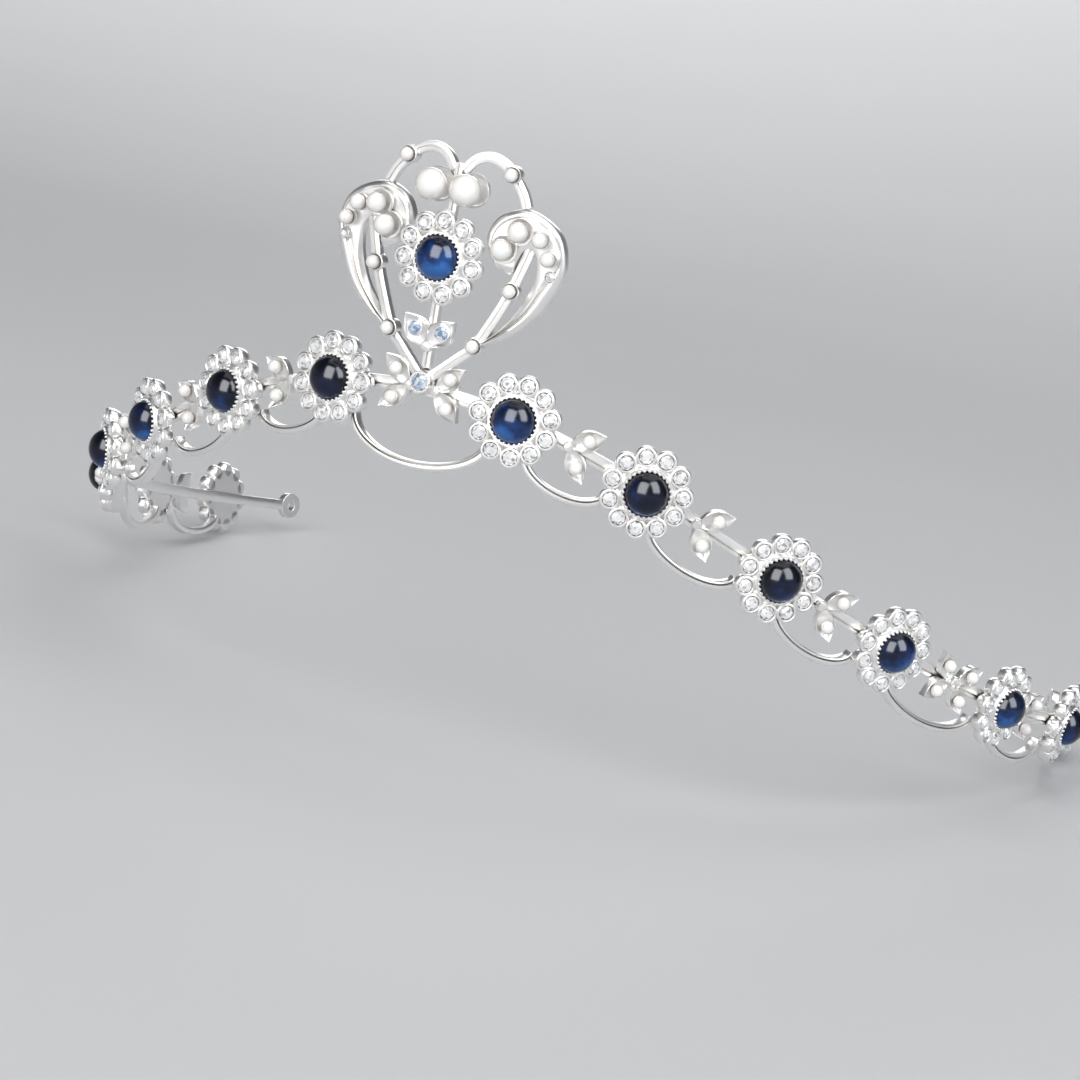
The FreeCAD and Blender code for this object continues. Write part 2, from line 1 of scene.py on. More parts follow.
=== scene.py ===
"""Looks of the bridal tiara: cast silver, pearls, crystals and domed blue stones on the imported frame."""
import bpy
import json
import math
import numpy as np
from mathutils import Matrix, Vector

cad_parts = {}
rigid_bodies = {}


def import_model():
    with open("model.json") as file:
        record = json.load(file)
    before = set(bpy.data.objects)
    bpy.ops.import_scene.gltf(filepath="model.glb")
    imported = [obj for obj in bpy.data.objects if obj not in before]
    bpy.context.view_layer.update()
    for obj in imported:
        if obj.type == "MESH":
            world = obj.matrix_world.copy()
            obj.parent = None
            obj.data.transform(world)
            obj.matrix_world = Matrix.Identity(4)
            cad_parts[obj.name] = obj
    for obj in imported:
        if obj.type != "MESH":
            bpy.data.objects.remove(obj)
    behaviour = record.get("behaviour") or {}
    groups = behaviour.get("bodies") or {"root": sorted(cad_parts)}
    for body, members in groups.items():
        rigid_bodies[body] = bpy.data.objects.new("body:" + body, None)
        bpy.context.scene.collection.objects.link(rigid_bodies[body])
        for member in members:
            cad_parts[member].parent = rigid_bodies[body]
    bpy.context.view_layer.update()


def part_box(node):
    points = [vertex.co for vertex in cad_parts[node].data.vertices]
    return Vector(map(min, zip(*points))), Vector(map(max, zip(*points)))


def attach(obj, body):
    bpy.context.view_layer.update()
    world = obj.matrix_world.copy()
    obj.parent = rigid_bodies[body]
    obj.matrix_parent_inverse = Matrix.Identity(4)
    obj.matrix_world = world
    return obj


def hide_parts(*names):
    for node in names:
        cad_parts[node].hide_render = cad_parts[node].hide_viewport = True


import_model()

# Sizes are in millimetres. Places are from the front centre of the band; arcs are lengths along it.
# A cut stone is given by its radius, bottom and height.
MM = 0.001
AXIS_RADIUS = 1e-4
SPLINE_STEPS = 24
SHARP_EDGE = math.radians(38.0)
BAND_HALF_WIDTH = 80.0
BAND_HALF_DEPTH = 87.5
BAND_DROP = 60.0
BAND_DROP_REACH = 84.0
BAND_END_ARC = 166.0
RAIL_START_ARC = 0.02
RAIL_END_ARC = 163.7
FRONT_TILT = 7.0
TILT_FALL = 16.0
TILT_REACH = 30.0
SOLDER_GAP = 0.05

# Festoons: how far past one daisy they start and before the next they end, their drop and their sag
FESTOON_LEAD = 2.8
FESTOON_TRAIL = 3.9
FESTOON_DROP = 3.4
FESTOON_SAG = 3.3
WIDE_GAP = 24.0
WIDE_SAG = 3.8
# Start, end, drop and sag
CENTRE_FESTOON = (-10.9, 10.9, 4.4, 5.9)

# Daisies
DAISY_ARCS = [13.3, 32.0, 52.2, 72.5, 99.5, 126.5, 149.0]
PETALS = 11
PETAL_RING = 4.95
PETAL_STONE = (1.01, 1.2, 1.08)
TEETH = 28
TOOTH_RING = 3.13
TOOTH_ROOT = 2.05
DOME_RADIUS = 3.0
DOME_GIRDLE = 1.95
DOME_RISE = 2.65

# Leaf sprigs and their pearls
PAIR_GAPS = [0, 1, 2, 4, 5]
FOUR_LEAF_GAP = 3
SPRIG_OFFSET = 7.6
FOUR_LEAF_OFFSET = 0.8
LEAF_SPREAD = math.radians(43.0)
LEAF_LENGTH = 5.3
LEAF_HALF_WIDTH = 1.52
LEAF_BROADEST = 0.5
LEAF_DISH = 0.4
PEARL_REACH = 2.9
SPRIG_PEARL = 0.95
SPRIG_PEARL_HEIGHT = 1.56

# Hub
HUB_HEIGHT = 1.1
HUB_LEAVES = (1.9, 0.2, 0.12)
HUB_STONE = (1.2, 1.75, 0.95)
HUB_LOW, HUB_HIGH = (np.array(corner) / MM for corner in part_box("hub_collet"))
FRONT_CENTRE = np.array([0.0, HUB_HIGH[1] + SOLDER_GAP, (HUB_LOW[2] + HUB_HIGH[2]) / 2 - HUB_HEIGHT])

# Crest centre line
CREST_BASE = 1.25
STEM_PATH = [(0, 3.1), (0, 12.0), (0, 30.6)]
CREST_LEAVES_HEIGHT = 6.0
CREST_LEAF_HALF_WIDTH = 1.78
CREST_LEAF_DISH = 0.35
CREST_LEAF_STONE = (1.02, 0.7, 0.75)
CREST_LEAF_STONE_REACH = 2.85
CREST_DAISY_HEIGHT = 18.0
TOP_PEARL = (2.45, 27.4)
TOP_PEARL_RADIUS = 2.15
TOP_PEARL_HEIGHT = 3.8

# Crest wings
WING_SWEEP = math.radians(5.5)
BRANCH_PATH = [(0.8, 1.9), (4.0, 5.0), (6.1, 7.2), (8.4, 11.9), (9.8, 15.4), (10.7, 18.4), (11.5, 21.3)]
COLLETS = [(6.1, 7.2), (9.8, 15.4)]
ARCH_PATH = [(0.62, 29.7), (2.0, 31.4), (3.9, 32.1), (5.8, 31.6), (7.4, 30.4), (9.1, 28.3), (10.0, 26.45)]
ARCH_COLLET = (7.4, 30.4)
PEARL_CUP_RADIUS = 1.22
PEARL_CUP_RIM = 1.75
COLLET_PEARL = 0.92
COLLET_PEARL_HEIGHT = 2.25
# Across, up and radius
VOLUTE_PEARLS = [(8.2, 20.75, 1.45), (10.0, 23.4, 1.37), (13.0, 22.9, 1.08), (14.45, 20.6, 1.0)]
VOLUTE_PEARL_FOOT = 2.25
VOLUTE_CRYSTAL = (14.9, 18.3)
VOLUTE_CRYSTAL_STONE = (0.7, 1.45, 0.8)
LIP_END = 0.08
BLADE_START = 0.54
BLADE_FULL = 0.72
# Seats: floor, rim, and how much wider they are than the pearl or stone
LARGE_SEAT = (1.9, 2.6, 0.46)
SMALL_SEAT = (2.15, 2.6, 0.1)
CRYSTAL_SEAT = (1.2, 1.9, 0.14)
SEAT_WALL = 0.14
# Outer and inner edge of the volute, lip to junction, station by station
VOLUTE_STATIONS = [((9.0, 17.5), (9.5, 17.7)), ((6.6, 18.7), (9.8, 18.4)), ((5.3, 21.8), (10.0, 19.4)),
                   ((6.7, 24.9), (10.4, 20.5)), ((10.6, 26.3), (11.1, 21.2)), ((15.1, 24.1), (11.9, 21.0)),
                   ((16.6, 20.2), (12.6, 19.6)), ((15.8, 16.2), (12.4, 16.6)), ((13.6, 12.2), (11.1, 13.2)),
                   ((10.4, 9.2), (9.2, 10.5)), ((7.0, 7.3), (6.7, 7.6))]

# Bars: width, back, front, width and depth of the channel, and how far the channel is off the middle
RAIL_BAR = (1.8, -1.4, 0.0, 0.2, 0.3, -0.28)
STEM_BAR = (1.2, 0.05, 1.25, 0.26, 0.32, 0.0)
BRANCH_BAR = (1.45, 0.05, 1.25, 0.24, 0.24, 0.0)
ARCH_BAR = (1.38, 0.05, 1.25, 0.2, 0.22, 0.0)

# Collets: radius, foot, rim, number of beads and their radius
HUB_COLLET = (1.5, 1.0, 2.3, 14, 0.17)
SPRIG_COLLET = (1.05, 0.9, 1.75, 12, 0.15)

# Profiles: radius and height for a lathe, across and outward for a bar
SETTING_PLATE = [(0, 0.05), (4.9, 0.05), (5.15, 0.3), (5.1, 0.9), (4.8, 1.3), (4.3, 1.5), (3.85, 1.62),
                 (3.66, 1.85), (3.56, 2.15), (3.44, 2.3), (3.2, 2.3), (3.08, 2.18), (3.05, 0.8), (0, 0.78)]
PETAL_CUP = [(0, 0.05), (1.0, 0.05), (1.25, 0.25), (1.42, 0.8), (1.5, 1.3), (1.5, 1.55), (1.46, 1.74),
             (1.38, 1.88), (1.27, 1.96), (1.16, 1.97), (1.06, 1.9), (1.0, 1.74), (0.98, 1.2), (0, 1.1)]
SETTING_TOOTH = [(0, 0), (0.21, 0.02), (0.245, 0.2), (0.22, 0.38), (0.13, 0.5), (0, 0.53)]
DOME_FOOT = [(0, 0.8), (2.85, 0.8), (2.98, 0.95), (DOME_RADIUS, DOME_GIRDLE)]
LEAF_FOOT = [(0, 0.05), (0.7, 0.05), (0.78, 0.2), (0.75, 0.8), (0.6, 1.0), (0, 1.08)]
LEAF_STONE_RIM = [(0.9, 0.6), (1.12, 0.6), (1.1, 1.02), (1.04, 1.1), (0.98, 1.1), (0.9, 1.0)]
EYELET = [(0.9, -1.3), (1.0, -1.4), (2.2, -1.4), (2.3, -1.3), (2.3, -0.1), (2.2, 0.0), (1.0, 0.0),
          (0.9, -0.1)]
HUB_PLATE = [(0, 0.17), (1.75, 0.17), (1.85, 0.27), (1.8, 0.8), (1.5, 1.25), (0, 1.3)]
TOP_CUP = [(0, 0.05), (1.85, 0.05), (2.2, 0.25), (2.35, 0.7), (2.35, 0.95), (2.28, 1.05), (2.16, 1.0),
           (1.9, 0.72), (0.8, 0.6), (0.55, 0.8), (0.5, 1.7), (0, 1.75)]
FESTOON_PROFILE = [(0.42, -1.6), (0.56, -1.5), (0.62, -1.25), (0.61, -0.35), (0.53, -0.14), (0.4, -0.07),
                   (0.29, -0.12), (0.24, -0.28), (0.2, -0.5), (0.15, -0.5), (0.12, -0.3), (0.06, -0.08),
                   (-0.2, -0.05), (-0.42, -0.09), (-0.55, -0.22), (-0.62, -0.5), (-0.62, -1.25),
                   (-0.56, -1.5), (-0.42, -1.6)]
HEAD_SECTION = [(0.0, 0.1), (0.0, 1.05), (0.02, 1.32), (0.055, 1.58), (0.1, 1.76), (0.14, 1.82), (0.17, 1.76),
                (0.185, 1.62), (0.21, 1.6), (0.3, 1.66), (0.45, 1.6), (0.62, 1.5), (0.8, 1.42), (0.92, 1.4),
                (0.97, 1.32), (1.0, 1.1), (1.0, 0.1)]
BLADE_SECTION = [(0.0, 0.1), (0.0, 1.0), (0.05, 1.3), (0.14, 1.58), (0.28, 1.78), (0.4, 1.84), (0.49, 1.76),
                 (0.545, 1.45), (0.57, 1.12), (0.6, 1.12), (0.64, 1.4), (0.69, 1.52), (0.76, 1.46),
                 (0.85, 1.26), (0.94, 1.02), (1.0, 0.85), (1.0, 0.1)]

# Looks: how the painted blue glow of the stones changes along the band
STONE_WAVE = 110.0
STONE_PHASE = 0.3
STONE_SWING = 0.12
BAND_STONE_LIFT = -0.04
CREST_STONE_LIFT = 0.12

# Studio, in metres from the middle of the band; a linked window stands a little nearer than the plain one
LOOK_AT = (0.0, -0.03, 0.06)
KEY_SPOT = (-0.05, -1.03, 0.62)
KEY_NEARER = (-0.049, -1.01, 0.609)
KEY_NEAREST = (-0.048, -0.97, 0.587)
SECOND_SPOT = (0.81, -0.36, 0.73)
SECOND_NEARER = (0.794, -0.353, 0.717)
FLOOR_GAP = 0.0005
FLOOR_FRONT = -3.0
FLOOR_HALF_WIDTH = 4.0
FLOOR_TOP = 4.0
FLOOR_EDGE = 0.6
FLOOR_BEND = 1.4

# Camera: angles in degrees, distances in millimetres, focal length in picture widths
AZIMUTH, ELEVATION, ROLL = 19.453, 11.449, 10.273
DISTANCE, SHIFT_X, SHIFT_Y = 365.7, 15.48, -20.28
FOCAL = 2.521296
SENSOR_WIDTH = 36.0


def band_table():
    """Arc lengths along one side of the band's ellipse, with their angles."""
    angles = np.linspace(0.0, 2.4, 4001)
    speed = np.hypot(BAND_HALF_WIDTH * np.cos(angles), BAND_HALF_DEPTH * np.sin(angles))
    lengths = np.concatenate([[0.0], np.cumsum((speed[1:] + speed[:-1]) / 2 * np.diff(angles))])
    return lengths, angles


LENGTHS, ANGLES = band_table()


def band_angle(arc):
    return math.copysign(float(np.interp(abs(arc), LENGTHS, ANGLES)), arc)


def band_point(arc):
    angle = band_angle(arc)
    drop = BAND_DROP * arc ** 2 / (arc ** 2 + BAND_DROP_REACH ** 2)
    return np.array([BAND_HALF_WIDTH * math.sin(angle), BAND_HALF_DEPTH * (1 - math.cos(angle)), -drop])


def unit(vector):
    return vector / np.linalg.norm(vector)


def band_frame(arc):
    """Centre, along, up and outward directions of the band."""
    angle = band_angle(arc)
    along = unit(band_point(arc + 0.5) - band_point(arc - 0.5))
    turn = math.atan2(math.sin(angle) / BAND_HALF_WIDTH, math.cos(angle) / BAND_HALF_DEPTH)
    tilt = math.radians(FRONT_TILT - TILT_FALL * arc ** 2 / (arc ** 2 + TILT_REACH ** 2))
    face = np.array([math.sin(turn) * math.cos(tilt), -math.cos(turn) * math.cos(tilt), math.sin(tilt)])
    outward = unit(face - along * face.dot(along))
    return band_point(arc), along, np.cross(outward, along), outward


def upright_frame(sweep):
    """Frame of a flat sheet that stands at the front centre, swept back by an angle."""
    along = np.array([math.cos(sweep), math.sin(sweep), 0.0])
    return np.zeros(3), along, np.array([0, 0, 1.0]), np.array([math.sin(sweep), -math.cos(sweep), 0.0])


CREST_FRAME = upright_frame(0.0)
WING_FRAME = upright_frame(WING_SWEEP)


def seated(points, place):
    """Local X, Y, Z become along, up and outward of a frame."""
    centre, along, up, outward = place
    points = np.asarray(points, float)
    return centre + points[:, :1] * along + points[:, 1:2] * up + points[:, 2:3] * outward


class Shape:
    """Vertices and faces collected in millimetres."""

    def __init__(self):
        self.blocks = []
        self.faces = []
        self.count = 0

    def add(self, verts, faces):
        verts = np.asarray(verts, float)
        self.blocks.append(verts)
        start = self.count
        self.faces.extend([tuple(start + i for i in face) for face in faces])
        self.count += len(verts)
        return self

    def points(self):
        return np.concatenate(self.blocks)

    def placed(self, place):
        return Shape().add(seated(self.points(), place), self.faces)

    def moved(self, x=0.0, y=0.0, z=0.0, turn=0.0):
        points = self.points()
        c, s = math.cos(turn), math.sin(turn)
        turned = points @ np.array([[c, s, 0.0], [-s, c, 0.0], [0.0, 0.0, 1.0]])
        return Shape().add(turned + np.array([x, y, z]), self.faces)

    def mirrored(self):
        return Shape().add(self.points() * np.array([-1.0, 1, 1]), [face[::-1] for face in self.faces])

    def merge(self, other):
        return self.add(other.points(), other.faces)


def merged(shapes):
    whole = Shape()
    for shape in shapes:
        whole.merge(shape)
    return whole


def ring_faces(rows, columns):
    """Quads between neighbouring rings, as (lower, lower next, upper next, upper) corners."""
    for i in range(rows - 1):
        for j in range(columns):
            k = (j + 1) % columns
            yield i * columns + j, i * columns + k, (i + 1) * columns + k, (i + 1) * columns + j


def end_faces(rows, columns):
    """The two caps of a stack of rings."""
    return [tuple(range(columns))[::-1], tuple((rows - 1) * columns + j for j in range(columns))]


def skin(rings, capped=True):
    """Closed skin through rings of equal length."""
    rows, columns = len(rings), len(rings[0])
    faces = list(ring_faces(rows, columns))
    if capped:
        faces += end_faces(rows, columns)
    return Shape().add(np.concatenate(rings), faces)


def circle(radius, height, segments, turn=0.0):
    spin = np.linspace(0, 2 * math.pi, segments, endpoint=False) + turn
    return np.stack([radius * np.cos(spin), radius * np.sin(spin), np.full(segments, height)], 1)


def lathe(profile, segments=32):
    """Solid of revolution about Z; the profile runs from axis to axis."""
    return skin([circle(max(radius, AXIS_RADIUS), height, segments) for radius, height in profile])


def spline(points, count, measured=None):
    """Smooth curve through the given points, evenly spaced by its length over the measured columns."""
    pts = np.asarray(points, float)
    ends = np.concatenate([[2 * pts[0] - pts[1]], pts, [2 * pts[-1] - pts[-2]]])
    fine = []
    for i in range(len(pts) - 1):
        p0, p1, p2, p3 = ends[i:i + 4]
        for t in np.linspace(0, 1, SPLINE_STEPS, endpoint=False):
            fine.append(0.5 * (2 * p1 + (p2 - p0) * t + (2 * p0 - 5 * p1 + 4 * p2 - p3) * t ** 2
                               + (3 * p1 - p0 - 3 * p2 + p3) * t ** 3))
    fine.append(pts[-1])
    fine = np.array(fine)
    steps = np.concatenate([[0], np.cumsum(np.linalg.norm(np.diff(fine[:, :measured], axis=0), axis=1))])
    wanted = np.linspace(0, steps[-1], count)
    return np.stack([np.interp(wanted, steps, column) for column in fine.T], 1)


def bar_profile(width, back, front, channel, depth, offset):
    """Rounded bar whose front is parted into two rails by a channel."""
    half = width / 2
    r = min(0.16, half * 0.35)
    side = [(half - r, back), (half - 0.3 * r, back + 0.3 * r), (half, back + r)]
    side += [(half, front - r), (half - 0.3 * r, front - 0.3 * r), (half - r, front - 0.02)]
    left = [(-x, z) for x, z in side[::-1]]
    groove = []
    for share, drop in [(0.72, 0.0), (0.55, 0.05), (0.38, 0.8 * depth), (0.2, depth)]:
        groove.append((0.5 * share * channel / 0.55, front - drop))
    groove += [(-x, z) for x, z in groove[::-1]]
    return side + [(x + offset, z) for x, z in groove] + left


def stations(path, count):
    """Points on a smooth path, each with its unit heading."""
    line = spline(path, count)
    heading = np.gradient(line, axis=0)
    heading /= np.linalg.norm(heading, axis=1)[:, None]
    return zip(line, heading)


def flat_bar(path, profile, count):
    """Bar in the local XY plane."""
    rings = []
    for point, tangent in stations(path, count):
        ring = [(point[0] - tangent[1] * s, point[1] + tangent[0] * s, z) for s, z in profile]
        rings.append(np.array(ring)[::-1])
    return skin(rings)


def band_bar(path, profile, count):
    """Bar in the curved face of the band; the path is arc length and height."""
    rings = []
    for point, tangent in stations(path, count):
        centre, along, up, outward = band_frame(point[0])
        base = centre + up * point[1]
        ring = [base + along * (-tangent[1] * s) + up * (tangent[0] * s) + outward * z for s, z in profile]
        rings.append(np.array(ring)[::-1])
    return skin(rings)


def pearl(radius, x, y, z, segments=36):
    rows = segments // 2
    turns = [math.pi * i / rows for i in range(rows + 1)]
    return lathe([(radius * math.sin(a), -radius * math.cos(a)) for a in turns], segments).moved(x, y, z)


def brilliant(radius, bottom, height, sides=8):
    """Faceted stone: point, girdle, crown and table; every other ring is turned by half a facet."""
    levels = [(0.02, 0.0, 0.0), (1.0, 0.45, 0.5), (1.0, 0.51, 0.5), (0.82, 0.72, 0.0), (0.52, 1.0, 0.5)]
    rings = []
    for scale, share, turn in levels:
        rings.append(circle(radius * scale, bottom + share * height, sides, 2 * math.pi * turn / sides))
    faces = []
    for a, b, c, d in ring_faces(len(rings), sides):
        faces += [(a, b, c), (a, c, d)]
    return Shape().add(np.concatenate(rings), faces + end_faces(len(rings), sides))


def petal_spots():
    """Places and directions of the stones around a daisy."""
    for i in range(PETALS):
        angle = math.pi / 2 + 2 * math.pi * i / PETALS
        yield PETAL_RING * math.cos(angle), PETAL_RING * math.sin(angle), angle


def daisy_setting():
    """Round plate with a raised toothed collar inside a ring of cups."""
    cup = lathe(PETAL_CUP, 40)
    tooth = lathe(SETTING_TOOTH, 10)
    shapes = [lathe(SETTING_PLATE, 96)]
    shapes += [cup.moved(x, y) for x, y, angle in petal_spots()]
    for i in range(TEETH):
        angle = 2 * math.pi * i / TEETH
        shapes.append(tooth.moved(TOOTH_RING * math.cos(angle), TOOTH_RING * math.sin(angle), TOOTH_ROOT))
    return merged(shapes)


def cabochon():
    """Domed stone on a low straight girdle."""
    profile = list(DOME_FOOT)
    for i in range(1, 25):
        angle = math.pi / 2 * i / 24
        profile.append((DOME_RADIUS * math.cos(angle), DOME_GIRDLE + DOME_RISE * math.sin(angle)))
    return lathe(profile, 64)


def crystal_ring():
    stone = brilliant(*PETAL_STONE)
    return merged([stone.moved(x, y, 0.0, angle) for x, y, angle in petal_spots()])


def leaf_width(share, widest):
    """Half width of a leaf: narrow foot, broad middle, pointed tip."""
    if share < LEAF_BROADEST:
        return widest * math.sin(math.pi / 2 * share / LEAF_BROADEST) ** 0.85
    return widest * math.cos(math.pi / 2 * (share - LEAF_BROADEST) / (1 - LEAF_BROADEST)) ** 1.1


def leaf(widest=LEAF_HALF_WIDTH, dish=LEAF_DISH):
    """Dished pointed leaf with a thick polished edge."""
    rings = []
    for i in range(33):
        share = 0.004 + 0.992 * i / 32
        half = max(leaf_width(share, widest), 0.02)
        lift = 0.28 * share ** 2
        depth = min(dish, dish * half / 0.9)
        side = [(-1.0, 0.08), (-0.98, 0.7), (-0.96, 0.98), (-0.89, 1.05), (-0.82, 0.98)]
        side += [(-0.7, 1.0 - 0.6 * depth), (-0.4, 1.0 - 0.9 * depth), (0.0, 1.0 - depth)]
        top = side + [(-across, z) for across, z in side[-2::-1]]
        ring = [(half * across, z + lift if z > 0.5 else z + 0.7 * lift) for across, z in top]
        ring += [(0.5 * half, 0.05 + 0.5 * lift), (-0.5 * half, 0.05 + 0.5 * lift)]
        rings.append(np.array([(LEAF_LENGTH * share, y, z) for y, z in ring])[::-1])
    return skin(rings)


def leaf_pair(**leaf_shape):
    """Two leaves spread from one round foot."""
    blade = leaf(**leaf_shape)
    return merged([lathe(LEAF_FOOT, 24), blade.moved(turn=LEAF_SPREAD), blade.moved(turn=-LEAF_SPREAD)])


def pair_pearls():
    x, y = PEARL_REACH * math.cos(LEAF_SPREAD), PEARL_REACH * math.sin(LEAF_SPREAD)
    return merged([pearl(SPRIG_PEARL, x, side * y, SPRIG_PEARL_HEIGHT) for side in (1, -1)])


def toothed_collet(radius, bottom, top, teeth, tooth):
    """Round collar with a ring of small beads on its rim."""
    ring = [(0, bottom), (radius - 0.1, bottom), (radius, bottom + 0.1), (radius, top - 0.1),
            (radius - 0.08, top), (radius - 0.3, top), (radius - 0.36, top - 0.1), (radius - 0.38, top - 0.6),
            (0, top - 0.65)]
    bead = lathe([(0, 0), (tooth, 0.05), (tooth, 0.2), (0.6 * tooth, 0.32), (0, 0.34)], 10)
    shapes = [lathe(ring, 36)]
    for i in range(teeth):
        angle = 2 * math.pi * i / teeth
        x, y = (radius - 0.2) * math.cos(angle), (radius - 0.2) * math.sin(angle)
        shapes.append(bead.moved(x, y, top - 0.12))
    return merged(shapes)


def four_leaf_sprig():
    """Two leaf pairs back to back on a toothed collar."""
    pair = leaf_pair().moved(FOUR_LEAF_OFFSET)
    return merged([pair, pair.mirrored(), toothed_collet(*SPRIG_COLLET)])


def pearl_cup(x, y, radius=PEARL_CUP_RADIUS, top=PEARL_CUP_RIM):
    """Plain round cup under a small pearl."""
    profile = [(0, 0.05), (radius - 0.12, 0.05), (radius, 0.2), (radius, top - 0.15),
               (radius - 0.06, top - 0.03), (radius - 0.14, top), (radius - 0.22, top - 0.05),
               (radius - 0.27, top - 0.2), (radius - 0.4, 1.35), (0, 1.3)]
    return lathe(profile, 40).moved(x, y)


def smooth_step(value, low, high):
    share = min(1.0, max(0.0, (value - low) / (high - low)))
    return share * share * (3 - 2 * share)


def volute_body():
    """Dished head whose rolled rim swells from the lip and runs down into two blades parted by a valley."""
    rings = []
    count = 150
    line = spline([outer + inner for outer, inner in VOLUTE_STATIONS], count, measured=2)
    for i, edge in enumerate(line):
        blade = smooth_step(i / (count - 1), BLADE_START, BLADE_FULL)
        start = smooth_step(i / (count - 1), 0.0, LIP_END)
        ring = []
        for (u, z), (v, w) in zip(HEAD_SECTION, BLADE_SECTION):
            across = u * (1 - blade) + v * blade
            height = z * (1 - blade) + w * blade
            height = height if height < 0.2 else 0.85 + (height - 0.85) * (0.35 + 0.65 * start)
            point = edge[:2] * (1 - across) + edge[2:] * across
            ring.append((point[0], point[1], height))
        rings.append(np.array(ring))
    return skin(rings)


def ring_solid(profile, segments=48):
    """Ring of revolution from a closed profile."""
    return skin([circle(r, z, segments) for r, z in profile + profile[:1]], capped=False)


def pearl_seat(x, y, radius, floor, top, spare):
    """Round cup wider than its pearl, with a thin rolled rim."""
    outer = radius + spare
    inner = outer - SEAT_WALL
    profile = [(0, 0.9), (outer - 0.5, 0.9), (outer - 0.1, floor), (outer, top - 0.3), (outer, top - 0.08),
               (outer - 0.05, top), (inner + 0.04, top), (inner, top - 0.08), (inner - 0.12, floor + 0.35),
               (outer - 0.6, floor + 0.15), (0, floor + 0.1)]
    return lathe(profile, 48).moved(x, y)


def make_object(name, shape, material, slot, replaced, flat=False):
    """One piece that stands for its CAD nodes; smooth with sharp edges kept, or flat for a cut stone."""
    points = (shape.points() + FRONT_CENTRE) * MM
    mesh = bpy.data.meshes.new(name)
    mesh.from_pydata(points.tolist(), [], shape.faces)
    mesh.validate()
    mesh.materials.append(material)
    for polygon in mesh.polygons:
        polygon.use_smooth = not flat
    if not flat:
        mesh.set_sharp_from_angle(angle=SHARP_EDGE)
    mesh.update()
    obj = bpy.data.objects.new(name, mesh)
    bpy.context.scene.collection.objects.link(obj)
    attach(obj, "root")
    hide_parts(*replaced)


def make_pair(node, shape, material, slot, **options):
    """Right-hand piece and its mirror image, each standing for its own CAD node."""
    make_object(node + "_right_look", shape, material, slot, [node + "_right"], **options)
    make_object(node + "_left_look", shape.mirrored(), material, slot, [node + "_left"], **options)


class Nodes:
    """Short way to build a node tree."""

    def __init__(self, name):
        self.material = bpy.data.materials.new(name)
        self.material.use_nodes = True
        self.tree = self.material.node_tree
        self.surface = self.tree.nodes["Principled BSDF"]

    def node(self, kind, **values):
        item = self.tree.nodes.new(kind)
        for key, value in values.items():
            if key in item.inputs:
                item.inputs[key].default_value = value
            else:
                setattr(item, key, value)
        return item

    def link(self, source, target):
        self.tree.links.new(source, target)

    def settings(self, **values):
        """Plain values of the surface; an underscore stands for a space in the name."""
        for key, value in values.items():
            self.surface.inputs[key.replace("_", " ")].default_value = value

    def coordinates(self):
        return self.node("ShaderNodeTexCoord").outputs["Object"]

    def axis(self, vector, letter):
        item = self.node("ShaderNodeSeparateXYZ")
        self.link(vector, item.inputs["Vector"])
        return item.outputs[letter]

    def scaled(self, value, factor, offset):
        """value * factor + offset, where the last two are numbers or sockets."""
        item = self.node("ShaderNodeMath", operation="MULTIPLY_ADD")
        self.fill(item.inputs, (value, factor, offset))
        return item.outputs[0]

    def sine(self, value):
        item = self.node("ShaderNodeMath", operation="SINE")
        self.link(value, item.inputs[0])
        return item.outputs[0]

    def fill(self, sockets, values):
        """Link each socket or set it to a plain value."""
        for socket, value in zip(sockets, values):
            if isinstance(value, bpy.types.NodeSocket):
                self.link(value, socket)
            else:
                socket.default_value = value

    def noise(self, scale, detail=3.0, roughness=0.5):
        item = self.node("ShaderNodeTexNoise", Scale=scale, Detail=detail, Roughness=roughness)
        self.link(self.coordinates(), item.inputs["Vector"])
        return item.outputs["Fac"]

    def ramp(self, factor, stops):
        item = self.node("ShaderNodeValToRGB")
        ramp = item.color_ramp
        while len(ramp.elements) < len(stops):
            ramp.elements.new(0.5)
        for element, (position, colour) in zip(ramp.elements, stops):
            element.position = position
            element.color = (*colour, 1.0)
        self.link(factor, item.inputs["Fac"])
        return item.outputs["Color"]

    def spread(self, factor, low, high):
        """A factor from 0 to 1 stretched between two values."""
        item = self.node("ShaderNodeMapRange")
        item.inputs["To Min"].default_value = low
        item.inputs["To Max"].default_value = high
        self.link(factor, item.inputs["Value"])
        return item.outputs["Result"]

    def bump(self, height, strength, distance):
        item = self.node("ShaderNodeBump", Strength=strength, Distance=distance)
        self.link(height, item.inputs["Height"])
        self.link(item.outputs["Normal"], self.surface.inputs["Normal"])

    def product(self, first, second):
        """Two colours multiplied."""
        item = self.node("ShaderNodeMix", data_type="RGBA", blend_type="MULTIPLY")
        self.fill((item.inputs[0], item.inputs[6], item.inputs[7]), (1.0, first, second))
        return item.outputs[2]


def silver_material():
    """Bright white metal with a soft polish, with painted shade that darkens it in the tight recesses."""
    m = Nodes("silver")
    m.settings(Metallic=1.0)
    shade = m.node("ShaderNodeAmbientOcclusion", samples=12, Distance=0.0006)
    # Painted shade: the base colour darkens where the ambient occlusion finds tight recesses.
    painted_recess_shade = m.ramp(shade.outputs["AO"], [(0.1, (0.50, 0.47, 0.44)), (0.4, (0.88, 0.865, 0.84)),
                                          (0.7, (0.985, 0.98, 0.975))])
    cloud = m.ramp(m.noise(300.0, 2.0), [(0.3, (0.96, 0.955, 0.945)), (0.7, (1.0, 1.0, 1.0))])
    m.link(m.product(painted_recess_shade, cloud), m.surface.inputs["Base Color"])
    m.link(m.spread(m.noise(500.0, 2.0, 0.4), 0.26, 0.34), m.surface.inputs["Roughness"])
    return m.material


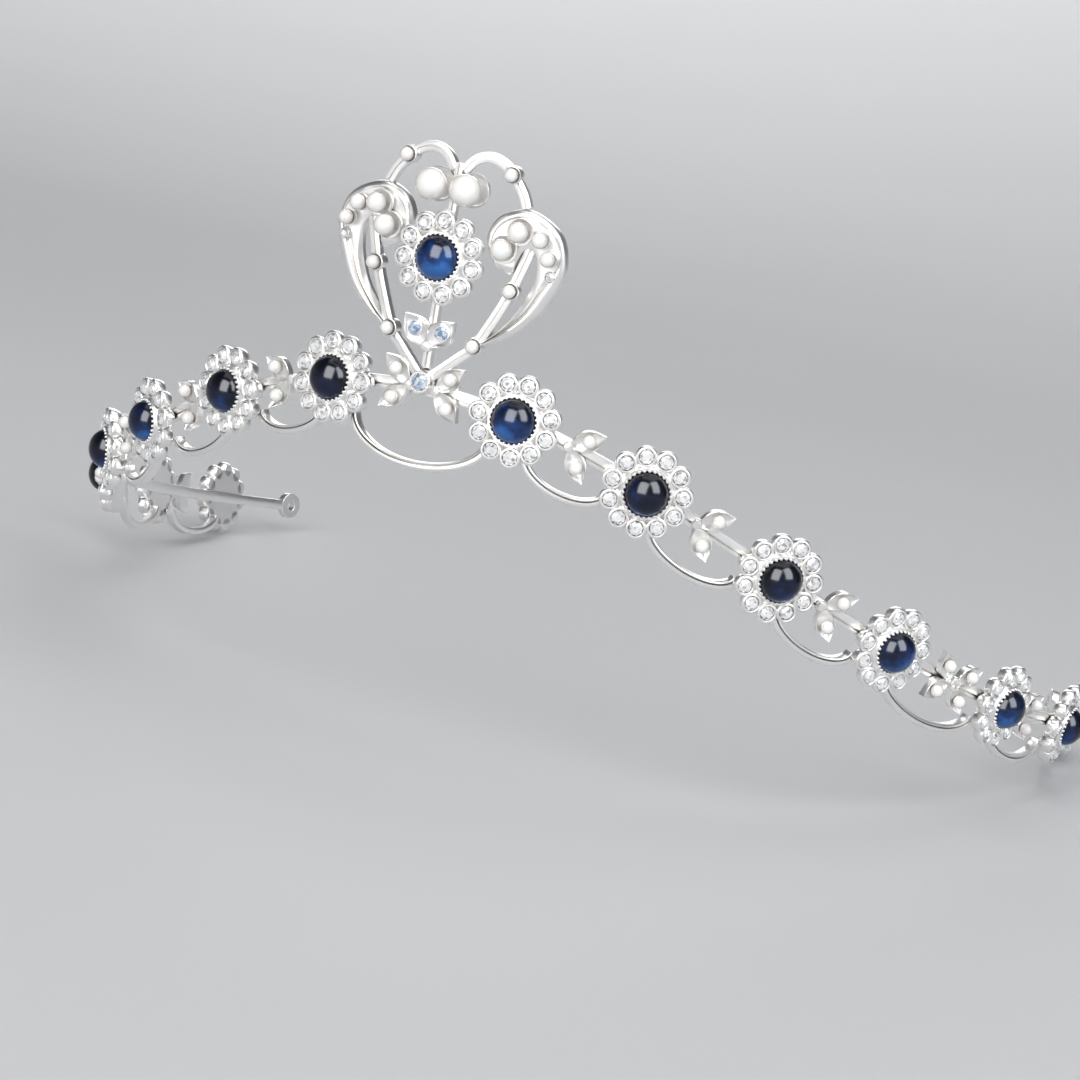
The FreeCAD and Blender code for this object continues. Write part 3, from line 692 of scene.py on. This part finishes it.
def pearl_material():
    """Nacre: white body, with painted shade making it warmer and greyer towards the rim, under a clear gloss.
    """
    m = Nodes("pearl")
    facing = m.node("ShaderNodeLayerWeight", Blend=0.4).outputs["Facing"]
    # Painted shade: the base colour turns warmer and greyer as the surface turns away from the camera.
    painted_rim_shade = m.ramp(facing, [(0.0, (0.955, 0.955, 0.955)), (0.25, (0.90, 0.895, 0.885)),
                             (0.6, (0.73, 0.69, 0.64)), (1.0, (0.60, 0.56, 0.51))])
    cloud = m.ramp(m.noise(520.0, 2.0), [(0.35, (1.0, 0.965, 0.965)), (0.65, (0.975, 1.0, 0.985))])
    m.link(m.product(painted_rim_shade, cloud), m.surface.inputs["Base Color"])
    m.settings(Roughness=0.25, IOR=1.65)
    m.settings(Coat_Weight=1.0, Coat_Roughness=0.08, Coat_IOR=1.65)
    m.settings(Subsurface_Weight=0.12, Subsurface_Radius=(0.0005, 0.0004, 0.0003), Subsurface_Scale=1.0)
    m.bump(m.noise(1400.0, 2.0), 0.04, 0.00005)
    return m.material


def painted_sparkle(m, scale, low, high):
    """Painted glints: uneven patches of brightness inside a cut stone."""
    cells = m.node("ShaderNodeTexVoronoi", Scale=scale, Randomness=1.0)
    m.link(m.coordinates(), cells.inputs["Vector"])
    tone = m.axis(cells.outputs["Color"], "X")
    return m.ramp(tone, [(0.06, low), (0.3, high), (0.9, (1.0, 1.0, 1.0))])


def crystal_material():
    """Colourless cut stone over foil: painted glints give bright facets with a few darker ones."""
    m = Nodes("crystal")
    m.link(painted_sparkle(m, 2600.0, (0.38, 0.39, 0.42), (0.95, 0.96, 0.975)), m.surface.inputs["Base Color"])
    m.settings(Roughness=0.04, IOR=2.1, Metallic=0.2)
    m.settings(Coat_Weight=1.0, Coat_Roughness=0.01, Coat_IOR=1.8)
    return m.material


def blue_material(name, lift):
    """Deep blue dome with painted light and shade: near black above, a painted blue glow low down in clouds;
    no two stones alike.
    """
    m = Nodes(name)
    across = m.axis(m.coordinates(), "X")
    # Painted shade and light: the colour is darker where the surface faces up and brighter blue where it
    # faces down.
    upward = m.axis(m.node("ShaderNodeNewGeometry").outputs["Normal"], "Z")
    swing = m.sine(m.scaled(across, STONE_WAVE, STONE_PHASE))
    own = m.scaled(swing, STONE_SWING, lift)
    low = m.scaled(upward, -0.32, own)
    total = m.scaled(m.noise(330.0, 3.0), 1.0, low)
    painted_blue_glow = m.ramp(total, [(0.30, (0.0003, 0.0006, 0.0025)), (0.48, (0.0008, 0.0024, 0.011)),
                          (0.66, (0.0025, 0.013, 0.053)), (0.86, (0.013, 0.058, 0.18))])
    m.link(painted_blue_glow, m.surface.inputs["Base Color"])
    m.settings(Roughness=0.18, IOR=1.42)
    return m.material


def pale_blue_material():
    """Pale blue cut stone whose own blue carries painted glints on uneven bright facets."""
    m = Nodes("pale_blue_stone")
    m.link(painted_sparkle(m, 2100.0, (0.20, 0.32, 0.52), (0.50, 0.64, 0.83)), m.surface.inputs["Base Color"])
    m.settings(Roughness=0.04, IOR=1.9, Metallic=0.3)
    m.settings(Coat_Weight=0.8, Coat_Roughness=0.01)
    return m.material


def floor_material():
    """Pale grey paper; painted light makes it glow to the camera alone, a little brighter with distance."""
    m = Nodes("floor_paper")
    paper = m.ramp(m.noise(3.0, 2.0), [(0.3, (0.585, 0.59, 0.605)), (0.7, (0.615, 0.62, 0.635))])
    m.link(paper, m.surface.inputs["Base Color"])
    m.settings(Roughness=0.85, Emission_Color=(0.98, 0.99, 1.0, 1.0))
    # Painted light: an emission seen by the camera alone lifts the floor more the farther it lies from the
    # middle.
    reach = m.node("ShaderNodeVectorMath", operation="LENGTH")
    m.link(m.coordinates(), reach.inputs[0])
    lift = m.node("ShaderNodeMapRange", interpolation_type="SMOOTHSTEP")
    lift.inputs["From Min"].default_value = 0.3
    lift.inputs["From Max"].default_value = 2.0
    lift.inputs["To Max"].default_value = 0.42
    m.link(reach.outputs["Value"], lift.inputs["Value"])
    painted_floor_light = m.scaled(lift.outputs["Result"], m.node("ShaderNodeLightPath").outputs["Is Camera Ray"], 0.0)
    m.link(painted_floor_light, m.surface.inputs["Emission Strength"])
    return m.material


SILVER = silver_material()
PEARL = pearl_material()
CRYSTAL = crystal_material()
BLUE = blue_material("deep_blue_stones", BAND_STONE_LIFT)
CREST_BLUE = blue_material("crest_blue_stone", CREST_STONE_LIFT)
PALE_BLUE = pale_blue_material()


def festoon(start, finish, end_drop, sag):
    """Hanging arch of the band between two arc lengths."""
    middle, half = (start + finish) / 2, (finish - start) / 2
    swings = [math.pi * i / 24 for i in range(25)]
    path = [(middle - half * math.cos(a), -end_drop - sag * math.sin(a)) for a in swings]
    return band_bar(path, FESTOON_PROFILE, 90)


def build_band():
    """Rail, end eyelets and festoons."""
    rail_line = [(arc, 0.0) for arc in np.linspace(RAIL_START_ARC, RAIL_END_ARC, 41)]
    make_pair("rail", band_bar(rail_line, bar_profile(*RAIL_BAR), 260), SILVER, "silver")
    eyelet = ring_solid(EYELET).placed(band_frame(BAND_END_ARC + SOLDER_GAP))
    make_pair("end_eyelet", eyelet, SILVER, "silver")
    make_object("festoon_centre_look", festoon(*CENTRE_FESTOON), SILVER, "silver", ["festoon_centre"])
    for i, (first, second) in enumerate(zip(DAISY_ARCS, DAISY_ARCS[1:])):
        sag = WIDE_SAG if second - first > WIDE_GAP else FESTOON_SAG
        arch = festoon(first + FESTOON_LEAD, second - FESTOON_TRAIL, FESTOON_DROP, sag)
        make_pair("festoon_%d" % (i + 1), arch, SILVER, "silver")


def build_daisies():
    """Settings, domed stones and crystals along the band, and the raised daisy of the crest."""
    setting, dome, crystals = daisy_setting(), cabochon(), crystal_ring()
    places = [band_frame(arc) for arc in DAISY_ARCS]
    make_pair("daisy_settings", merged([setting.placed(p) for p in places]), SILVER, "silver")
    make_pair("cabochons", merged([dome.placed(p) for p in places]), BLUE, "sapphire")
    make_pair("daisy_crystals", merged([crystals.placed(p) for p in places]), CRYSTAL, "crystal", flat=True)
    for node, shape, material, slot in (("daisy_setting_crest", setting, SILVER, "silver"),
                                        ("cabochon_crest", dome, CREST_BLUE, "sapphire"),
                                        ("daisy_crystals_crest", crystals, CRYSTAL, "crystal")):
        raised = shape.moved(0, CREST_DAISY_HEIGHT, CREST_BASE).placed(CREST_FRAME)
        make_object(node + "_look", raised, material, slot, [node], flat=shape is crystals)


def build_sprigs():
    """Leaf pairs between the daisies, and the four-leaf sprig in the widest gap of each side."""
    pair, pearls = leaf_pair(), pair_pearls()
    places = [band_frame(DAISY_ARCS[gap] + SPRIG_OFFSET) for gap in PAIR_GAPS]
    make_pair("leaf_sprigs", merged([pair.placed(p) for p in places]), SILVER, "silver")
    make_pair("sprig_pearls", merged([pearls.placed(p) for p in places]), PEARL, "pearl")
    place = band_frame((DAISY_ARCS[FOUR_LEAF_GAP] + DAISY_ARCS[FOUR_LEAF_GAP + 1]) / 2)
    four = pearls.moved(FOUR_LEAF_OFFSET)
    make_pair("four_leaf_sprig", four_leaf_sprig().placed(place), SILVER, "silver")
    make_pair("four_leaf_pearls", merged([four, four.mirrored()]).placed(place), PEARL, "pearl")


def build_hub():
    """Round collet at the front centre, its pale stone, and the leaves and pearls at its sides."""
    collet = merged([lathe(HUB_PLATE, 40), toothed_collet(*HUB_COLLET)]).moved(0, HUB_HEIGHT)
    make_object("hub_collet_look", collet.placed(CREST_FRAME), SILVER, "silver", ["hub_collet"])
    stone = brilliant(*HUB_STONE, 10).moved(0, HUB_HEIGHT)
    make_object("hub_stone_look", stone.placed(CREST_FRAME), PALE_BLUE, "pale_blue", ["hub_stone"], flat=True)
    make_pair("hub_leaves", leaf_pair().moved(*HUB_LEAVES).placed(CREST_FRAME), SILVER, "silver")
    make_pair("hub_pearls", pair_pearls().moved(*HUB_LEAVES).placed(CREST_FRAME), PEARL, "pearl")


def build_crest_centre():
    """Upright stem, the leaf pair with its two pale stones, and the two top pearls in their cups."""
    stem = flat_bar(STEM_PATH, bar_profile(*STEM_BAR), 30)
    make_object("crest_stem_look", stem.placed(CREST_FRAME), SILVER, "silver", ["crest_stem"])
    leaves = leaf_pair(widest=CREST_LEAF_HALF_WIDTH, dish=CREST_LEAF_DISH)
    metal = [leaves.moved(0, CREST_LEAVES_HEIGHT, CREST_BASE, math.pi / 2)]
    stones = []
    for side in (1, -1):
        x = -side * CREST_LEAF_STONE_REACH * math.sin(LEAF_SPREAD)
        y = CREST_LEAVES_HEIGHT + CREST_LEAF_STONE_REACH * math.cos(LEAF_SPREAD)
        metal.append(ring_solid(LEAF_STONE_RIM).moved(x, y, CREST_BASE))
        stones.append(brilliant(*CREST_LEAF_STONE).moved(x, y, CREST_BASE))
    make_object("crest_leaves_look", merged(metal).placed(CREST_FRAME), SILVER, "silver", ["crest_leaves"])
    make_object("crest_leaf_stones_look", merged(stones).placed(CREST_FRAME), PALE_BLUE, "pale_blue",
                ["crest_leaf_stones"], flat=True)
    make_pair("top_pearl_cup", lathe(TOP_CUP, 64).moved(*TOP_PEARL).placed(CREST_FRAME), SILVER, "silver")
    top_pearl = pearl(TOP_PEARL_RADIUS, *TOP_PEARL, TOP_PEARL_HEIGHT, 64)
    make_pair("top_pearl", top_pearl.placed(CREST_FRAME), PEARL, "pearl")


def build_volute():
    """Scrolled head with four pearls and a crystal, each in its own seat."""
    shapes = [volute_body()]
    for spot, seat in zip(VOLUTE_PEARLS, (LARGE_SEAT, LARGE_SEAT, SMALL_SEAT, SMALL_SEAT)):
        shapes.append(pearl_seat(*spot, *seat))
    shapes.append(pearl_seat(*VOLUTE_CRYSTAL, VOLUTE_CRYSTAL_STONE[0], *CRYSTAL_SEAT))
    make_pair("volute", merged(shapes).placed(WING_FRAME), SILVER, "silver")
    pearls = merged([pearl(r, x, y, VOLUTE_PEARL_FOOT + r, 44) for x, y, r in VOLUTE_PEARLS])
    make_pair("volute_pearls", pearls.placed(WING_FRAME), PEARL, "pearl")
    crystal = brilliant(*VOLUTE_CRYSTAL_STONE).moved(*VOLUTE_CRYSTAL)
    make_pair("volute_crystal", crystal.placed(WING_FRAME), CRYSTAL, "crystal", flat=True)


def build_wings():
    """Branches, volutes and arches of the crest, with the small pearls in their cups."""
    cups = [pearl_cup(*spot) for spot in COLLETS]
    branch = merged([flat_bar(BRANCH_PATH, bar_profile(*BRANCH_BAR), 90)] + cups)
    make_pair("crest_branch", branch.placed(WING_FRAME), SILVER, "silver")
    build_volute()
    arch = merged([flat_bar(ARCH_PATH, bar_profile(*ARCH_BAR), 90), pearl_cup(*ARCH_COLLET)])
    make_pair("arch", arch.placed(WING_FRAME), SILVER, "silver")
    small = merged([pearl(COLLET_PEARL, x, y, COLLET_PEARL_HEIGHT) for x, y in COLLETS + [ARCH_COLLET]])
    make_pair("collet_pearls", small.placed(WING_FRAME), PEARL, "pearl")


def stage_floor():
    """Long floor that bends up behind the piece."""
    line = [(FLOOR_FRONT, 0.0), (FLOOR_EDGE, 0.0)]
    for angle in np.linspace(0.1, 1.5, 12):
        line.append((FLOOR_EDGE + FLOOR_BEND * math.sin(angle), FLOOR_BEND - FLOOR_BEND * math.cos(angle)))
    line.append((FLOOR_EDGE + FLOOR_BEND, FLOOR_TOP))
    verts = [(x, y, z - FLOOR_GAP) for y, z in line for x in (-FLOOR_HALF_WIDTH, FLOOR_HALF_WIDTH)]
    faces = [(2 * i, 2 * i + 1, 2 * i + 3, 2 * i + 2) for i in range(len(line) - 1)]
    mesh = bpy.data.meshes.new("floor")
    mesh.from_pydata(verts, [], faces)
    for polygon in mesh.polygons:
        polygon.use_smooth = True
    mesh.materials.append(floor_material())
    obj = bpy.data.objects.new("floor", mesh)
    bpy.context.scene.collection.objects.link(obj)


def softbox(name, location, size, power, colour=(1, 1, 1), only=None, target=LOOK_AT):
    """Rectangular lamp turned to its target; it may fall on one collection only."""
    light = bpy.data.lights.new(name, "AREA")
    light.shape = "RECTANGLE"
    light.size, light.size_y = size
    light.energy = power
    light.color = colour
    obj = bpy.data.objects.new(name, light)
    back = unit(np.array(location, float) - np.array(target, float))
    side = unit(np.cross([0, 0, 1.0], back))
    rise = np.cross(back, side)
    obj.matrix_world = Matrix([[side[k], rise[k], back[k], location[k]] for k in range(3)] + [[0, 0, 0, 1]])
    obj.visible_camera = False
    if only is not None:
        obj.light_linking.receiver_collection = only
    bpy.context.scene.collection.objects.link(obj)


def group(name, *materials):
    """Collection of the pieces of some materials, for a light that falls on them alone."""
    items = bpy.data.collections.new(name)
    for obj in bpy.context.scene.objects:
        if obj.type == "MESH" and obj.data.materials and obj.data.materials[0] in materials:
            items.objects.link(obj)
    return items


def studio_lights():
    """Two windows, panels above and behind, and stronger windows for the stones and pearls."""
    metal = group("metal", SILVER, CRYSTAL)
    stones = group("stones", BLUE, CREST_BLUE)
    pearls = group("pearls", PEARL)
    softbox("key_window", KEY_SPOT, (0.9, 1.2), 9.0, (1.0, 0.99, 0.97))
    softbox("second_window", SECOND_SPOT, (0.7, 1.05), 6.0, (0.96, 0.98, 1.0))
    softbox("key_window_on_stones", KEY_NEARER, (0.88, 1.18), 30.0, (0.93, 0.97, 1.0), stones)
    softbox("second_window_on_stones", SECOND_NEARER, (0.68, 1.03), 20.0, (0.88, 0.94, 1.0), stones)
    softbox("key_window_on_pearls", KEY_NEAREST, (0.3, 0.34), 2.4, only=pearls)
    softbox("top_panel", (0.0, 0.10, 1.25), (1.1, 0.9), 4.5)
    softbox("back_panel", (-0.5, 1.5, 0.7), (1.0, 0.6), 6.0)
    softbox("front_reflector", (-0.16, -0.42, 0.05), (0.6, 0.22), 0.2, only=metal, target=(0.0, -0.03, 0.045))
    softbox("right_reflector", (0.48, -0.08, 0.06), (0.5, 0.24), 0.2, only=metal, target=(0.06, -0.03, 0.03))


def studio_world():
    """Tent of light, full in reflections and half for the rest, dark overhead; the camera sees pale grey."""
    world = bpy.data.worlds.new("studio")
    bpy.context.scene.world = world
    world.use_nodes = True
    tree = world.node_tree
    place = tree.nodes.new("ShaderNodeTexCoord")
    split = tree.nodes.new("ShaderNodeSeparateXYZ")
    ramp = tree.nodes.new("ShaderNodeValToRGB")
    ray = tree.nodes.new("ShaderNodeLightPath")
    strength = tree.nodes.new("ShaderNodeMapRange")
    stops = ramp.color_ramp.elements
    stops[0].position, stops[0].color = 0.0, (0.55, 0.555, 0.565, 1.0)
    stops[1].position, stops[1].color = 0.7, (0.08, 0.085, 0.09, 1.0)
    stop = stops.new(0.3)
    stop.color = (0.22, 0.225, 0.235, 1.0)
    strength.inputs["To Min"].default_value = 0.5
    strength.inputs["To Max"].default_value = 1.0
    tree.links.new(place.outputs["Generated"], split.inputs["Vector"])
    tree.links.new(split.outputs["Z"], ramp.inputs["Fac"])
    tree.links.new(ray.outputs["Is Glossy Ray"], strength.inputs["Value"])
    background = tree.nodes["Background"]
    tree.links.new(ramp.outputs["Color"], background.inputs["Color"])
    tree.links.new(strength.outputs["Result"], background.inputs["Strength"])
    backdrop = tree.nodes.new("ShaderNodeBackground")
    backdrop.inputs["Color"].default_value = (0.42, 0.425, 0.435, 1.0)
    choice = tree.nodes.new("ShaderNodeMixShader")
    tree.links.new(ray.outputs["Is Camera Ray"], choice.inputs["Fac"])
    tree.links.new(background.outputs["Background"], choice.inputs[1])
    tree.links.new(backdrop.outputs["Background"], choice.inputs[2])
    tree.links.new(choice.outputs["Shader"], tree.nodes["World Output"].inputs["Surface"])


def place_camera():
    """Camera aimed along its angles, moved sideways by the shifts."""
    az, el, roll = (math.radians(v) for v in (AZIMUTH, ELEVATION, ROLL))
    back = np.array([math.sin(az) * math.cos(el), -math.cos(az) * math.cos(el), math.sin(el)])
    side = unit(np.cross([0, 0, 1.0], back))
    rise = np.cross(back, side)
    right = math.cos(roll) * side + math.sin(roll) * rise
    up = -math.sin(roll) * side + math.cos(roll) * rise
    spot = (right * SHIFT_X + up * SHIFT_Y + back * DISTANCE + FRONT_CENTRE) * MM
    data = bpy.data.cameras.new("camera")
    data.sensor_width = SENSOR_WIDTH
    data.lens = FOCAL * SENSOR_WIDTH
    data.clip_start = 0.01
    data.clip_end = 50.0
    obj = bpy.data.objects.new("camera", data)
    obj.matrix_world = Matrix([[right[k], up[k], back[k], spot[k]] for k in range(3)] + [[0, 0, 0, 1]])
    bpy.context.scene.collection.objects.link(obj)
    bpy.context.scene.camera = obj


build_band()
build_daisies()
build_sprigs()
build_hub()
build_crest_centre()
build_wings()
stage_floor()
studio_lights()
studio_world()
place_camera()
bpy.context.scene.view_settings.view_transform = "Standard"
bpy.context.view_layer.update()
